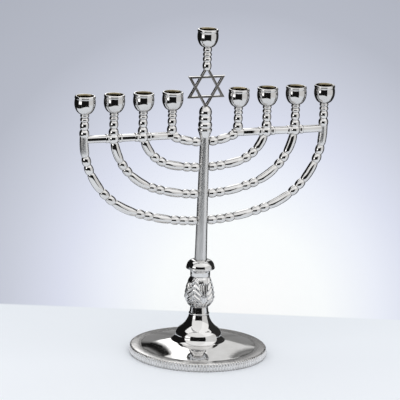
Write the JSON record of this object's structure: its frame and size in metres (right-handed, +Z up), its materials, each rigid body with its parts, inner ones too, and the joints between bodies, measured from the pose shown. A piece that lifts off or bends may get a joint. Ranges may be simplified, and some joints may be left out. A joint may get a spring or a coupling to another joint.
{
  "type": "menorah",
  "caption": "Free-standing menorah: beaded curved arms and straight rails carry a row of candle cups, with a raised shamash above a star, on a tapered stem and a round dished base.",
  "frame": {"origin": "middle of the base's underside, on the table", "axes": "+Z up along the stem, X along the row of cups, -Y towards the viewer's side"},
  "size_m": [0.2004, 0.102, 0.2448],
  "materials": {
    "polished_nickel": "mirror-polished nickel plate",
    "cup_nickel": "mirror-polished nickel plate, warmer and duller inside the cups",
    "relief_nickel": "polished nickel plate on cast leaf relief, slightly dull in the hollows",
    "antiqued_nickel": "nickel plate, satin and a little darkened",
    "plated_steel": "zinc-plated steel"
  },
  "bodies": {
    "root": {"base_pedestal": "polished_nickel", "knop": "relief_nickel", "stem_collar": "polished_nickel", "stem": "polished_nickel", "outer_arm_left": "polished_nickel", "second_arm_left": "polished_nickel", "third_arm_left": "polished_nickel", "inner_arm_left": "polished_nickel", "rail_left": "polished_nickel", "candle_cup_left_1": "cup_nickel", "candle_cup_left_2": "cup_nickel", "candle_cup_left_3": "cup_nickel", "candle_cup_left_4": "cup_nickel", "outer_arm_right": "polished_nickel", "second_arm_right": "polished_nickel", "third_arm_right": "polished_nickel", "inner_arm_right": "polished_nickel", "rail_right": "polished_nickel", "candle_cup_right_1": "cup_nickel", "candle_cup_right_2": "cup_nickel", "candle_cup_right_3": "cup_nickel", "candle_cup_right_4": "cup_nickel", "shamash_spindle": "polished_nickel", "star_of_david": "antiqued_nickel", "shamash_neck": "polished_nickel", "shamash_cup": "cup_nickel", "tie_rod": "plated_steel", "tie_rod_washer": "plated_steel", "tie_rod_nut": "plated_steel"}
  },
  "joints": []
}
